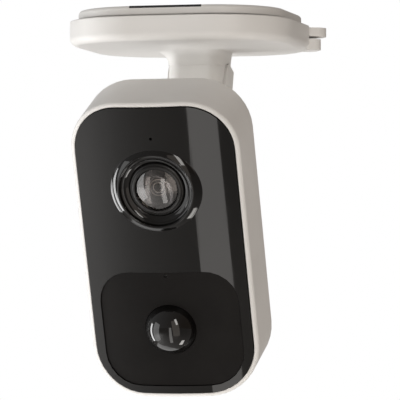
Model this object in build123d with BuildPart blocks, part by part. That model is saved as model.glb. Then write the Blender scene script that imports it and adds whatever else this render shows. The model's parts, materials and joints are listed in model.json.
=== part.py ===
from build123d import *
import os
from math import copysign, cos, radians, sin

os.makedirs("parts", exist_ok=True)

# A security camera hanging from a rounded-square mount. The origin is the centre of the mounting face,
# +Z points into the ceiling and the camera looks along -Y. Millimetres.

# Wall plate with its twist-lock rail. Heights are below the mounting face, so they are negative.
plate_w = 63.0
plate_corner_r = 21.0
plate_t = 3.1
plate_top_round = 1.1
plate_bottom_round = 0.5
pad_r = 28.0
pad_t = 1.0
pad_proud = 0.3
pad_tab_w = 22.0
pad_hole_extra = 1.0
screw_spacing = 40.0
screw_hole_r = 2.1
screw_sink_r = 3.2
rail_inner_r = 25.0
rail_outer_r = 27.0
flange_r = 28.5
flange_top = -4.5
flange_bottom = -5.5

# Base shell, a rounded square
base_w = 68.0
base_corner_r = 23.0
base_top = -3.4
base_bottom = -10.9
base_floor = -9.4
base_wall = 2.2
base_edge_r = 2.5
base_rim_r = 0.4

# Deck, its hooks and the washer under the plate
deck_r = 31.4
deck_top = -6.3
deck_t = 1.5
deck_opening_r = 7.0
hook_inner_r = 27.3
hook_gap_r = 28.9
hook_outer_r = 31.2
hook_top = -3.45
hook_bottom = -4.35
hook_w = 24.0
washer_inner_r = 19.5
washer_outer_r = 23.0
washer_top = -3.25
washer_bottom = -3.8
deck_boss_place_r = 15.0
deck_boss_r = 2.6
deck_screw_r = 1.2
deck_screw_length = 3.6
deck_screw_head_r = 2.0
deck_screw_start = 30.0
deck_notch_r = 34.4
deck_notch_l = 16.4
deck_notch_w = 16.0

# Release lever: radii are from the base's centre, along the lever
lever_angle = 29.0
lever_pivot_r = 28.6
lever_pivot_z = -7.4
lever_width = 9.0
lever_eye_r = 1.7
lever_nose_r = 28.3
lever_web_r = 29.2
lever_web_t = 1.5
lever_web_bottom = -5.6
lever_lap = 0.4
lever_eye_end = 1.9
lever_ear_y = 5.0
lever_ear_t = 1.8
lever_ear_w = 2.8
lever_clear = 0.6
lever_pin_r = 0.9
running_gap = 0.05
tab_top = -3.9
tab_bottom = -6.6
tab_tip_r = 42.5
tab_round = 3.6
rest_top = -7.4
rest_bottom = -10.7
rest_tip_r = 40.5
rest_round = 2.5
rest_root_r = 35.6

# Neck, from its root in the base down to the tilt pivot
neck_root = Vector(0, 13.0, -10.9)
neck_w = 17.5
neck_d = 15.0
neck_end_w = 15.2
neck_end_d = 13.0
neck_corner_r = 4.5
neck_loft_end = 34.0
neck_flare_r = 4.5
neck_flare_back = 0.15
tongue_w = 14.0
tongue_d = 12.0
cover_split = 1.5
cover_start = 4.2
cover_end = 32.5
cover_line = 0.4
cover_extra_w = 1.2
cover_end_extra_w = 4.2
cover_corner_r = 1.8
core_w = 10.4
core_back = -4.6

# Tilt hinge, seen from the head: up along the body and out of its face
tilt = 23.0
pivot_up = 6.0
pivot_out = -34.0
knuckle_r = 6.5
ear_r = 7.5
hinge_pin_r = 2.5
ear_inner = 7.5
ear_outer = 12.0
ear_recess_r = 4.6
ear_recess = 2.6
hinge_cap_t = 1.0
bracket_w = 34.0
bracket_h = 20.0
bracket_t = 2.5
bracket_r = 4.5
bracket_screw_r = 1.2
bracket_screw_head_r = 1.9
bracket_screw_across = 14.6
bracket_screw_up = 6.0
ear_spread = 1.2

# Head. The face plane is level with the front panel's side edges.
head_w = 51.0
head_h = 93.0
head_r = 15.5
head_depth = 24.5
head_wall = 2.4
back_fillet = 6.0
bezel_drop = 0.4
bezel_round = 1.0
panel_w = 48.0
panel_h = 90.0
panel_r = 14.0
panel_gap = 0.15
panel_back = -2.5
panel_wall = 2.0
crown_top = 2.9
crown_r = 105.0
seat_back = -3.2
throat_back = -5.5
throat_w = 44.6
throat_h = 86.6
throat_r = 11.3

# Front of the head: heights along the body
mic_up = 35.5
lens_up = 19.4
status_up = -7.6
sensor_up = -24.5
sensor_w = 42.0
sensor_h = 36.0
sensor_r = 10.0
sensor_drop = 0.35
small_hole_r = 0.45

# Lens
trim_top = 3.7
trim_top_r = 11.5
trim_mouth_r = 10.9
trim_step_r = 10.6
trim_step_out = 2.5
trim_throat_out = 1.5
trim_base_r = 14.4
trim_base_out = 1.4
barrel_r = 8.2
barrel_back = -9.0
glass_r = 6.5
glass_seat = 0.3
glass_edge = 2.2
glass_apex = 3.4
aperture_r = 1.05

# Inside the head
board_front = -12.0
board_back = -13.2
board_w = 42.6
board_h = 83.0
board_r = 9.0
button_up = 23.5
button_r = 3.0
speaker_up = 34.5
flap_out = -13.5
flap_w = 14.0
flap_depth = 8.4
flap_t = 1.6
flap_gap = 0.3
flap_pin_r = 0.4
socket_out = -14.8
card_out = -11.2
battery_up = -11.0

# Planes and axes that the pieces share
head_up = Vector(0, -sin(radians(tilt)), cos(radians(tilt)))
head_out = Vector(0, -cos(radians(tilt)), -sin(radians(tilt)))
face_origin = Vector(0, -32.0, -72.6)
face_plane = Plane(origin=face_origin, x_dir=(1, 0, 0), z_dir=head_out)


def head_point(across, up, out):
    """A point given across, up and out of the head's face."""
    return face_origin + Vector(1, 0, 0) * across + head_up * up + head_out * out


def lens_section():
    """The plane through the lens axis: x is the radius, y points out of the face."""
    return Plane(origin=head_point(0, lens_up, 0), x_dir=(1, 0, 0), z_dir=head_up * -1)


pivot = head_point(0, pivot_up, pivot_out)
lens_axis = Axis(head_point(0, lens_up, 0), head_out)
neck_dir = (pivot - neck_root).normalized()
neck_plane = Plane(origin=neck_root, x_dir=(1, 0, 0), z_dir=neck_dir)
neck_length = (pivot - neck_root).length
pivot_side = Plane(origin=pivot, x_dir=(0, 1, 0), z_dir=(1, 0, 0))
lever_out = Vector(cos(radians(lever_angle)), sin(radians(lever_angle)), 0)
lever_level = Plane(origin=(0, 0, 0), x_dir=lever_out, z_dir=(0, 0, 1))
lever_side = Plane(origin=(0, 0, 0), x_dir=lever_out, z_dir=(lever_out.Y, -lever_out.X, 0))


def turned_screw(plane, head_radius, head_height, shank_radius, length):
    """A pan-head screw: its head's underside lies on the plane, its shank goes down from it."""
    with BuildPart() as screw:
        with BuildSketch(plane):
            Circle(head_radius)
        extrude(amount=head_height)
        fillet(screw.faces().sort_by(Axis(plane.origin, plane.z_dir))[-1].edges(), head_height * 0.4)
        with BuildSketch(plane.offset(head_height)):
            Rectangle(head_radius * 1.1, head_radius * 0.28)
            Rectangle(head_radius * 0.28, head_radius * 1.1)
        extrude(amount=-head_height * 0.5, mode=Mode.SUBTRACT)
        with BuildSketch(plane):
            Circle(shank_radius)
        extrude(amount=-length)
    return screw.part


def cap_arc(edge_r, edge_out, apex_out):
    """An arc from a rim to the apex above its centre, on a sphere centred on the axis."""
    rise = apex_out - edge_out
    sphere_r = (edge_r * edge_r + rise * rise) / (2 * rise)
    middle_r = edge_r * 0.5
    fall = abs(sphere_r) - (sphere_r * sphere_r - middle_r * middle_r) ** 0.5
    middle_out = apex_out - copysign(fall, rise)
    return ThreePointArc((edge_r, edge_out), (middle_r, middle_out), (0, apex_out))


def crown_solid(drop):
    """The space under the face's crown, a cylinder along the body, lowered by drop."""
    top = crown_top - drop
    section = Plane(origin=face_origin, x_dir=(1, 0, 0), z_dir=head_up * -1)
    with BuildPart() as crown:
        with BuildSketch(section.offset(-head_h)):
            with Locations((0, top - crown_r)):
                Circle(crown_r)
            with Locations((0, top - head_depth)):
                Rectangle(head_w * 1.4, head_depth * 2.2, mode=Mode.INTERSECT)
        extrude(amount=2 * head_h)
    return crown.part


# ---------------------------------------------------------------- wall plate and its lock

with BuildPart() as wall_plate:
    with BuildSketch(Plane.XY.offset(-plate_t)):
        RectangleRounded(plate_w, plate_w, plate_corner_r)
    extrude(amount=plate_t - pad_proud)
    fillet(wall_plate.edges().group_by(Axis.Z)[-1], plate_top_round)
    fillet(wall_plate.edges().group_by(Axis.Z)[0], plate_bottom_round)
    with BuildSketch(Plane.XY.offset(-plate_t)):
        Circle(rail_outer_r)
        Circle(rail_inner_r, mode=Mode.SUBTRACT)
    extrude(amount=flange_bottom + plate_t)
    with BuildSketch(Plane.XY.offset(flange_bottom)):
        Circle(flange_r)
        Circle(rail_inner_r, mode=Mode.SUBTRACT)
    extrude(amount=flange_top - flange_bottom)
    with BuildSketch(Plane.XY.offset(-pad_t)):
        Circle(pad_r)
        with Locations((0, -plate_w / 2)):
            Rectangle(pad_tab_w, plate_w)
    extrude(amount=plate_t, mode=Mode.SUBTRACT)
    with Locations(Plane.XY.offset(-plate_t).rotated((180, 0, 0))):
        with GridLocations(screw_spacing, 1, 2, 1):
            CounterSinkHole(screw_hole_r, screw_sink_r, depth=plate_t)
wall_plate.part.label = "wall_plate"
export_step(wall_plate.part, "parts/wall_plate.step")

with BuildPart() as rubber_pad:
    with BuildSketch(Plane.XY.offset(-pad_t)):
        Circle(pad_r)
        with GridLocations(screw_spacing, 1, 2, 1):
            Circle(screw_hole_r + pad_hole_extra, mode=Mode.SUBTRACT)
    extrude(amount=pad_t)
    with BuildSketch(Plane.XY.offset(-pad_t)):
        with Locations((0, -plate_w / 4)):
            Rectangle(pad_tab_w, plate_w / 2 - 0.4)
        with GridLocations(screw_spacing, 1, 2, 1):
            Circle(screw_hole_r + pad_hole_extra, mode=Mode.SUBTRACT)
    extrude(amount=pad_t - pad_proud)
rubber_pad.part.label = "rubber_pad"
export_step(rubber_pad.part, "parts/rubber_pad.step")

with BuildPart() as plate_washer:
    with BuildSketch(Plane.XY.offset(washer_bottom)):
        Circle(washer_outer_r)
        Circle(washer_inner_r, mode=Mode.SUBTRACT)
    extrude(amount=washer_top - washer_bottom)
plate_washer.part.label = "plate_washer"
export_step(plate_washer.part, "parts/plate_washer.step")

with BuildPart() as base_deck:
    with BuildSketch(Plane.XY.offset(deck_top - deck_t)):
        Circle(deck_r)
        Circle(deck_opening_r, mode=Mode.SUBTRACT)
        with PolarLocations(deck_notch_r, 1, start_angle=lever_angle):
            Rectangle(deck_notch_l, deck_notch_w, mode=Mode.SUBTRACT)
        with PolarLocations(deck_boss_place_r, 3, start_angle=deck_screw_start):
            Circle(deck_screw_r, mode=Mode.SUBTRACT)
    extrude(amount=deck_t)
    with BuildSketch(Plane.XY.offset(deck_top)):
        Circle(washer_outer_r)
        Circle(washer_inner_r, mode=Mode.SUBTRACT)
    extrude(amount=washer_bottom - deck_top)
    for hook_angle in (lever_angle + 120, lever_angle + 240):
        with BuildSketch(Plane.XY.offset(deck_top).rotated((0, 0, hook_angle))):
            Circle(hook_outer_r)
            Circle(hook_gap_r, mode=Mode.SUBTRACT)
            with Locations((base_w / 4, 0)):
                Rectangle(base_w / 2, hook_w, mode=Mode.INTERSECT)
        extrude(amount=hook_top - deck_top)
        with BuildSketch(Plane.XY.offset(hook_bottom).rotated((0, 0, hook_angle))):
            Circle(hook_gap_r + 0.5)
            Circle(hook_inner_r, mode=Mode.SUBTRACT)
            with Locations((base_w / 4, 0)):
                Rectangle(base_w / 2, hook_w, mode=Mode.INTERSECT)
        extrude(amount=hook_top - hook_bottom)
base_deck.part.label = "base_deck"
export_step(base_deck.part, "parts/base_deck.step")

deck_screw_places = [
    Plane.XY.offset(deck_top).move(place)
    for place in PolarLocations(deck_boss_place_r, 3, start_angle=deck_screw_start)
]
deck_screws = Compound(
    children=[
        turned_screw(place, deck_screw_head_r, 1.2, deck_screw_r, deck_screw_length)
        for place in deck_screw_places
    ]
)
deck_screws.label = "deck_screws"
export_step(deck_screws, "parts/deck_screws.step")

# ---------------------------------------------------------------- neck and base shell

neck_side = Plane(origin=neck_root, x_dir=neck_dir, z_dir=(-1, 0, 0))
neck_back = neck_plane.y_dir * -1


def neck_point(along, back):
    """A point on the neck's middle plane, along it from the root and back from its centre."""
    return neck_root + neck_dir * along + neck_back * back


with BuildPart() as neck_blank:
    with BuildSketch(neck_plane.offset(-1.0)):
        RectangleRounded(neck_w, neck_d, neck_corner_r)
    with BuildSketch(neck_plane.offset(neck_loft_end)):
        RectangleRounded(neck_end_w, neck_end_d, neck_corner_r)
    loft()


with BuildPart() as neck_flare:
    # The neck spreads in front and on its left where it leaves the base, in level sections
    for height in (-0.05, 0.1, 0.3, 0.6, 1.0):
        spread = neck_flare_r * (1 - (1 - (1 - max(height, 0.0)) ** 2) ** 0.5)
        drop = neck_flare_r * height
        along = drop / -neck_dir.Z
        shift = spread * (1 - neck_flare_back) / 2
        with BuildSketch(Plane.XY.offset(neck_root.Z - drop)):
            with Locations((-shift, neck_point(along, 0).Y - shift)):
                RectangleRounded(
                    neck_w + spread * (1 + neck_flare_back),
                    neck_d / -neck_dir.Z + spread * (1 + neck_flare_back),
                    neck_corner_r + spread / 2,
                )
    loft(ruled=True)


def behind_split(margin):
    """The space that the rear cover fills, grown all round by a margin."""
    with BuildPart() as space:
        with BuildSketch(neck_side.offset(-neck_w)):
            with Locations(((cover_start + cover_end) / 2, (cover_split - neck_d) / 2)):
                RectangleRounded(
                    cover_end - cover_start + 2 * margin,
                    cover_split + neck_d + 2 * margin,
                    2.5 + margin,
                )
        extrude(amount=2 * neck_w)
    return space.part


with BuildPart() as neck_core:
    with BuildSketch(neck_plane.offset(cover_start - 1.0)):
        with Locations((0, (cover_split + 1.0 + core_back) / 2)):
            Rectangle(core_w, cover_split + 1.0 - core_back)
    extrude(amount=cover_end - cover_start + 2.0)

neck_screw_seat = 5.8
neck_screw_inset = 5.0
neck_screw_length = 4.8
neck_screw_planes = [
    Plane(origin=neck_point(along, neck_screw_seat), x_dir=(1, 0, 0), z_dir=neck_back)
    for along in (cover_start + neck_screw_inset, cover_end - neck_screw_inset)
]
neck_screw_r = 0.9
neck_screw_head_r = 1.9

with BuildPart() as base_shell:
    with BuildSketch(Plane.XY.offset(base_bottom)):
        RectangleRounded(base_w, base_w, base_corner_r)
    extrude(amount=base_top - base_bottom)
    fillet(base_shell.edges().group_by(Axis.Z)[0], base_edge_r)
    fillet(base_shell.edges().group_by(Axis.Z)[-1], base_rim_r)
    add(neck_blank.part)
    add(neck_flare.part)
    with BuildSketch(Plane.XY.offset(base_floor)):
        RectangleRounded(base_w - 2 * base_wall, base_w - 2 * base_wall, base_corner_r - base_wall)
    extrude(amount=base_top - base_floor, mode=Mode.SUBTRACT)
    with BuildSketch(neck_plane.offset(neck_loft_end - 1.0)):
        RectangleRounded(tongue_w, tongue_d, 3.0)
    extrude(amount=neck_length - neck_loft_end + 1.0)
    add(behind_split(cover_line), mode=Mode.SUBTRACT)
    add(neck_core.part)
    for place in neck_screw_planes:
        with BuildSketch(place):
            Circle(neck_screw_r)
        extrude(amount=-neck_screw_length, mode=Mode.SUBTRACT)
    # Tilt knuckle
    with BuildSketch(pivot_side.offset(-tongue_w / 2)):
        Circle(knuckle_r)
    extrude(amount=tongue_w)
    with BuildSketch(pivot_side.offset(-tongue_w)):
        Circle(hinge_pin_r + running_gap)
    extrude(amount=2 * tongue_w, mode=Mode.SUBTRACT)
    # Bosses for the deck screws
    with BuildSketch(Plane.XY.offset(deck_top - deck_t)):
        with PolarLocations(deck_boss_place_r, 3, start_angle=deck_screw_start):
            Circle(deck_boss_r)
    extrude(amount=base_floor - deck_top + deck_t)
    with BuildSketch(Plane.XY.offset(deck_top)):
        with PolarLocations(deck_boss_place_r, 3, start_angle=deck_screw_start):
            Circle(deck_screw_r)
    extrude(amount=-deck_screw_length, mode=Mode.SUBTRACT)
    # Ears for the lever's pin
    for near in (-lever_ear_y - lever_ear_t, lever_ear_y):
        with BuildSketch(lever_side.offset(near)):
            with Locations((lever_pivot_r, (base_floor + lever_pivot_z + lever_ear_w / 2) / 2)):
                Rectangle(lever_ear_w, lever_pivot_z + lever_ear_w / 2 - base_floor)
        extrude(amount=lever_ear_t)
    with BuildSketch(lever_side.offset(-lever_ear_y - lever_ear_t)):
        with Locations((lever_pivot_r, lever_pivot_z)):
            Circle(lever_pin_r)
    extrude(amount=2 * (lever_ear_y + lever_ear_t), mode=Mode.SUBTRACT)
    # Notch for the lever's tab, and the thumb rest under it
    with BuildSketch(lever_level.offset(rest_top + 0.2)):
        with Locations(((rest_root_r + tab_tip_r) / 2 - 1.0, 0)):
            Rectangle(tab_tip_r - rest_root_r + 2.0, lever_width + 2 * lever_clear)
    extrude(amount=base_top - rest_top, mode=Mode.SUBTRACT)
    with BuildSketch(lever_level.offset(rest_bottom)) as rest_outline:
        with Locations(((rest_tip_r + rest_root_r) / 2, 0)):
            Rectangle(rest_tip_r - rest_root_r, lever_width)
        fillet(rest_outline.vertices().sort_by(Axis.X)[-2:], rest_round)
    extrude(amount=rest_top - rest_bottom)
base_shell.part.label = "base_shell"
export_step(base_shell.part, "parts/base_shell.step")

with BuildPart() as cover_blank:
    with BuildSketch(neck_plane.offset(-1.0)):
        RectangleRounded(neck_w + cover_extra_w, neck_d, cover_corner_r)
    with BuildSketch(neck_plane.offset(neck_loft_end)):
        RectangleRounded(neck_end_w + cover_end_extra_w, neck_d, cover_corner_r)
    loft()

with BuildPart() as neck_cover:
    add(cover_blank.part)
    add(behind_split(0), mode=Mode.INTERSECT)
    add(neck_core.part, mode=Mode.SUBTRACT)
    for place in neck_screw_planes:
        with BuildSketch(place):
            Circle(neck_screw_head_r + 0.1)
        extrude(amount=neck_d, mode=Mode.SUBTRACT)
        with BuildSketch(place):
            Circle(neck_screw_r + 0.1)
        extrude(amount=-2.0, mode=Mode.SUBTRACT)
neck_cover.part.label = "neck_cover"
export_step(neck_cover.part, "parts/neck_cover.step")

neck_screws = Compound(
    children=[
        turned_screw(place, neck_screw_head_r, 1.1, neck_screw_r, neck_screw_length)
        for place in neck_screw_planes
    ]
)
neck_screws.label = "neck_screws"
export_step(neck_screws, "parts/neck_screws.step")

# ---------------------------------------------------------------- release lever

with BuildPart() as release_lever:
    with BuildSketch(lever_side.offset(-lever_eye_end)):
        with Locations((lever_pivot_r, lever_pivot_z)):
            Circle(lever_eye_r)
        with Locations((lever_web_r + lever_web_t / 2 - lever_lap, (lever_pivot_z + lever_web_bottom) / 2)):
            Rectangle(lever_web_t + 2 * lever_lap, lever_web_bottom - lever_pivot_z)
    extrude(amount=lever_eye_end + lever_width / 2)
    with BuildSketch(lever_side.offset(-lever_width / 2)):
        with Locations((lever_web_r + lever_web_t / 2, (hook_top + lever_web_bottom) / 2)):
            Rectangle(lever_web_t, hook_top - lever_web_bottom)
    extrude(amount=lever_width)
    with BuildSketch(lever_level.offset(hook_bottom)):
        Circle(lever_web_r + 2 * lever_lap)
        Circle(lever_nose_r, mode=Mode.SUBTRACT)
        with Locations((base_w / 4, 0)):
            Rectangle(base_w / 2, lever_width, mode=Mode.INTERSECT)
    extrude(amount=hook_top - hook_bottom)
    with BuildSketch(lever_level.offset(tab_bottom)) as tab_outline:
        with Locations(((lever_web_r + tab_tip_r) / 2, 0)):
            Rectangle(tab_tip_r - lever_web_r, lever_width)
        fillet(tab_outline.vertices().sort_by(Axis.X)[-2:], tab_round)
    extrude(amount=tab_top - tab_bottom)
    with BuildSketch(lever_side.offset(-lever_width)):
        with Locations((lever_pivot_r, lever_pivot_z)):
            Circle(lever_pin_r + running_gap)
    extrude(amount=2 * lever_width, mode=Mode.SUBTRACT)
    # Room for the spring beside the eye
    with BuildSketch(lever_side.offset(-lever_width)):
        with Locations((lever_pivot_r, lever_pivot_z)):
            Circle(lever_eye_r + 0.2)
    extrude(amount=lever_width - lever_eye_end, mode=Mode.SUBTRACT)
release_lever.part.label = "release_lever"
export_step(release_lever.part, "parts/release_lever.step")

with BuildPart() as lever_pin:
    with BuildSketch(lever_side.offset(-lever_ear_y - lever_ear_t)):
        with Locations((lever_pivot_r, lever_pivot_z)):
            Circle(lever_pin_r)
    extrude(amount=2 * (lever_ear_y + lever_ear_t))
lever_pin.part.label = "lever_pin"
export_step(lever_pin.part, "parts/lever_pin.step")

spring_wire_r = 0.16
spring_r = 1.3
spring_pitch = 0.5
spring_length = 2.0
spring_gap = 0.5
spring_place = lever_side.from_local_coords((lever_pivot_r, lever_pivot_z, -lever_eye_end - spring_gap))
with BuildPart() as lever_spring:
    with BuildLine() as coil:
        Helix(
            pitch=spring_pitch,
            height=spring_length,
            radius=spring_r,
            center=spring_place,
            direction=lever_side.z_dir * -1,
        )
    with BuildSketch(coil.line ^ 0):
        Circle(spring_wire_r)
    sweep()
lever_spring.part.label = "lever_spring"
export_step(lever_spring.part, "parts/lever_spring.step")

# ---------------------------------------------------------------- tilt hinge on the head

ear_plane = Plane(origin=pivot, x_dir=head_up, z_dir=(1, 0, 0))
back_out = -head_depth
bracket_out = back_out - bracket_t
bracket_screw_planes = [
    Plane(origin=head_point(across, pivot_up + up, bracket_out), x_dir=(1, 0, 0), z_dir=head_out * -1)
    for across in (-bracket_screw_across, bracket_screw_across)
    for up in (-bracket_screw_up, bracket_screw_up)
]

with BuildPart() as hinge_bracket:
    with BuildSketch(face_plane.offset(bracket_out)):
        with Locations((0, pivot_up)):
            RectangleRounded(bracket_w, bracket_h, bracket_r)
    extrude(amount=bracket_t)
    for inner in (-ear_outer, ear_inner):
        with BuildSketch(ear_plane.offset(inner)):
            Circle(ear_r)
            with BuildLine():
                Polyline(
                    (-ear_r, 0),
                    (ear_r, 0),
                    (ear_r + ear_spread, bracket_out - pivot_out + 0.5),
                    (-ear_r - ear_spread, bracket_out - pivot_out + 0.5),
                    close=True,
                )
            make_face()
        extrude(amount=ear_outer - ear_inner)
    for outer, depth in ((-ear_outer, ear_recess), (ear_outer, -ear_recess)):
        with BuildSketch(ear_plane.offset(outer)):
            Circle(ear_recess_r)
        extrude(amount=depth, mode=Mode.SUBTRACT)
    with BuildSketch(ear_plane.offset(-ear_outer)):
        Circle(hinge_pin_r)
    extrude(amount=2 * ear_outer, mode=Mode.SUBTRACT)
    for place in bracket_screw_planes:
        with BuildSketch(place):
            Circle(bracket_screw_r)
        extrude(amount=-bracket_t, mode=Mode.SUBTRACT)
hinge_bracket.part.label = "hinge_bracket"
export_step(hinge_bracket.part, "parts/hinge_bracket.step")

bracket_screw_length = 4.5
bracket_screws = Compound(
    children=[
        turned_screw(place, bracket_screw_head_r, 1.2, bracket_screw_r, bracket_screw_length)
        for place in bracket_screw_planes
    ]
)
bracket_screws.label = "bracket_screws"
export_step(bracket_screws, "parts/bracket_screws.step")

pin_shoulder = ear_outer - ear_recess
pin_head_t = ear_recess - hinge_cap_t
with BuildPart() as hinge_pin:
    with BuildSketch(ear_plane.offset(-pin_shoulder)):
        Circle(hinge_pin_r)
    extrude(amount=2 * pin_shoulder + pin_head_t)
    with BuildSketch(ear_plane.offset(-pin_shoulder - pin_head_t)):
        Circle(ear_recess_r - 0.3)
    extrude(amount=pin_head_t)
hinge_pin.part.label = "hinge_pin"
export_step(hinge_pin.part, "parts/hinge_pin.step")

with BuildPart() as hinge_nut:
    with BuildSketch(ear_plane.offset(pin_shoulder)):
        RegularPolygon(ear_recess_r - 0.3, 6)
        Circle(hinge_pin_r, mode=Mode.SUBTRACT)
    extrude(amount=pin_head_t)
hinge_nut.part.label = "hinge_nut"
export_step(hinge_nut.part, "parts/hinge_nut.step")


def disc_pair(name, radius, hole, near, far):
    """Two equal discs or rings on the tilt axis, one on each side of the hinge."""
    discs = []
    for start, amount in ((-far, far - near), (near, far - near)):
        with BuildPart() as disc:
            with BuildSketch(ear_plane.offset(start)):
                Circle(radius)
                if hole:
                    Circle(hole, mode=Mode.SUBTRACT)
            extrude(amount=amount)
        discs.append(disc.part)
    pair = Compound(children=discs)
    pair.label = name
    return pair


washer_gap = 0.1
friction_washers = disc_pair(
    "friction_washers", knuckle_r, hinge_pin_r, tongue_w / 2 + washer_gap, ear_inner
)
export_step(friction_washers, "parts/friction_washers.step")

hinge_caps = disc_pair("hinge_caps", ear_recess_r, 0, ear_outer - hinge_cap_t, ear_outer)
export_step(hinge_caps, "parts/hinge_caps.step")

# ---------------------------------------------------------------- housing

post_across = 17.5
post_up = 37.5
post_r = 2.4
post_places = [(across, up) for across in (-post_across, post_across) for up in (-post_up, post_up)]
board_screw_r = 0.9
speaker_slot_pitch = 2.4
speaker_slot_l = 12.0
speaker_slot_w = 1.2
socket_w = 9.2
socket_h = 3.4
card_w = 12.0
card_h = 1.3
bottom_plane = Plane(
    origin=head_point(0, -head_h / 2, flap_out), x_dir=(1, 0, 0), z_dir=head_up * -1
)
flap_pin_plane = Plane(
    origin=head_point(
        -flap_w / 2 - flap_gap - 0.8,
        -head_h / 2 + flap_t / 2,
        flap_out - flap_depth / 2 + flap_t / 2,
    ),
    x_dir=head_up,
    z_dir=(1, 0, 0),
)
flap_pin_length = flap_w + 2 * flap_gap + 1.6

with BuildPart() as cavity:
    with BuildSketch(face_plane.offset(back_out + head_wall)):
        RectangleRounded(head_w - 2 * head_wall, head_h - 2 * head_wall, head_r - head_wall)
    extrude(amount=throat_back - back_out - head_wall)
    fillet(
        cavity.faces().sort_by(Axis(face_origin, head_out))[0].edges(), back_fillet - head_wall + 0.2
    )

with BuildPart() as housing:
    with BuildSketch(face_plane.offset(back_out)):
        RectangleRounded(head_w, head_h, head_r)
    extrude(amount=head_depth + 2 * crown_top)
    fillet(housing.faces().sort_by(Axis(face_origin, head_out))[0].edges(), back_fillet)
    add(crown_solid(bezel_drop), mode=Mode.INTERSECT)
    fillet(housing.faces().sort_by(Axis(face_origin, head_out))[-1].edges(), bezel_round)
    add(cavity.part, mode=Mode.SUBTRACT)
    with BuildSketch(face_plane.offset(throat_back)):
        RectangleRounded(throat_w, throat_h, throat_r)
    extrude(amount=head_depth, mode=Mode.SUBTRACT)
    with BuildSketch(face_plane.offset(seat_back)):
        RectangleRounded(panel_w + 2 * panel_gap, panel_h + 2 * panel_gap, panel_r + panel_gap)
    extrude(amount=head_depth, mode=Mode.SUBTRACT)
    # Posts for the main board
    with BuildSketch(face_plane.offset(board_back)):
        with Locations(*post_places):
            Circle(post_r)
    extrude(amount=back_out + head_wall - board_back - 1.0)
    with BuildSketch(face_plane.offset(board_back)):
        with Locations(*post_places):
            Circle(board_screw_r)
    extrude(amount=-4.5, mode=Mode.SUBTRACT)
    # Power button hole and speaker slots in the back
    with BuildSketch(face_plane.offset(back_out - 1)):
        with Locations((0, button_up)):
            Circle(button_r + 0.15)
        with Locations((0, speaker_up)):
            with GridLocations(1, speaker_slot_pitch, 1, 5):
                SlotOverall(speaker_slot_l, speaker_slot_w)
    extrude(amount=head_wall + 2, mode=Mode.SUBTRACT)
    for place in bracket_screw_planes:
        with BuildSketch(place):
            Circle(bracket_screw_r)
        extrude(amount=-bracket_screw_length - 2, mode=Mode.SUBTRACT)
    # Flap pocket, charging and card openings, and the flap's pin holes in the bottom end
    with BuildSketch(bottom_plane):
        Rectangle(flap_w + 2 * flap_gap, flap_depth + 2 * flap_gap)
    extrude(amount=-flap_t - 0.2, mode=Mode.SUBTRACT)
    with BuildSketch(bottom_plane):
        with Locations((0, socket_out - flap_out)):
            RectangleRounded(socket_w, socket_h, socket_h * 0.47)
        with Locations((0, card_out - flap_out)):
            Rectangle(card_w, card_h)
    extrude(amount=-head_wall - 0.1, mode=Mode.SUBTRACT)
    with BuildSketch(flap_pin_plane):
        Circle(flap_pin_r)
    extrude(amount=flap_pin_length, mode=Mode.SUBTRACT)
housing.part.label = "housing"
export_step(housing.part, "parts/housing.step")

# ---------------------------------------------------------------- front of the head

with BuildPart() as trim_blank:
    with BuildSketch(lens_section()):
        with BuildLine():
            Polyline(
                (0, panel_back - 1.0),
                (trim_base_r, panel_back - 1.0),
                (trim_base_r, trim_base_out),
                (trim_top_r, trim_top),
                (0, trim_top),
                close=True,
            )
        make_face()
    revolve(axis=lens_axis)

with BuildPart() as panel_hollow:
    with BuildSketch(face_plane.offset(panel_back - 1.0)):
        RectangleRounded(panel_w - 2 * panel_wall, panel_h - 2 * panel_wall, panel_r - panel_wall)
    extrude(amount=head_depth)
    add(crown_solid(panel_wall), mode=Mode.INTERSECT)

with BuildPart() as front_panel:
    with BuildSketch(face_plane.offset(panel_back)):
        RectangleRounded(panel_w, panel_h, panel_r)
    extrude(amount=head_depth)
    add(crown_solid(0), mode=Mode.INTERSECT)
    add(panel_hollow.part, mode=Mode.SUBTRACT)
    add(trim_blank.part, mode=Mode.SUBTRACT)
    with BuildSketch(face_plane.offset(panel_back - 1.0)):
        with Locations((0, sensor_up)):
            RectangleRounded(
                sensor_w + 2 * panel_gap, sensor_h + 2 * panel_gap, sensor_r + panel_gap
            )
        with Locations((0, mic_up)):
            Circle(small_hole_r)
    extrude(amount=head_depth, mode=Mode.SUBTRACT)
front_panel.part.label = "front_panel"
export_step(front_panel.part, "parts/front_panel.step")

with BuildPart() as panel_gasket:
    with BuildSketch(face_plane.offset(seat_back)):
        RectangleRounded(panel_w - 0.4, panel_h - 0.4, panel_r - 0.2)
        RectangleRounded(panel_w - 3.0, panel_h - 3.0, panel_r - 1.5, mode=Mode.SUBTRACT)
    extrude(amount=panel_back - seat_back)
panel_gasket.part.label = "panel_gasket"
export_step(panel_gasket.part, "parts/panel_gasket.step")

dome_r = 7.75
dome_base_out = 2.0
dome_height = 6.6
dome_wall = 1.0
dome_flange_r = 9.0
plate_back_out = -1.6
dome_section = Plane(
    origin=head_point(0, sensor_up, 0), x_dir=(1, 0, 0), z_dir=head_up * -1
)
dome_axis = Axis(head_point(0, sensor_up, 0), head_out)
dome_apex = dome_base_out + dome_height

with BuildPart() as sensor_plate:
    with BuildSketch(face_plane.offset(plate_back_out)):
        with Locations((0, sensor_up)):
            RectangleRounded(sensor_w, sensor_h, sensor_r)
            Circle(dome_r, mode=Mode.SUBTRACT)
        with Locations((0, status_up)):
            Circle(small_hole_r, mode=Mode.SUBTRACT)
    extrude(amount=head_depth)
    add(crown_solid(sensor_drop), mode=Mode.INTERSECT)
sensor_plate.part.label = "sensor_plate"
export_step(sensor_plate.part, "parts/sensor_plate.step")

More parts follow.
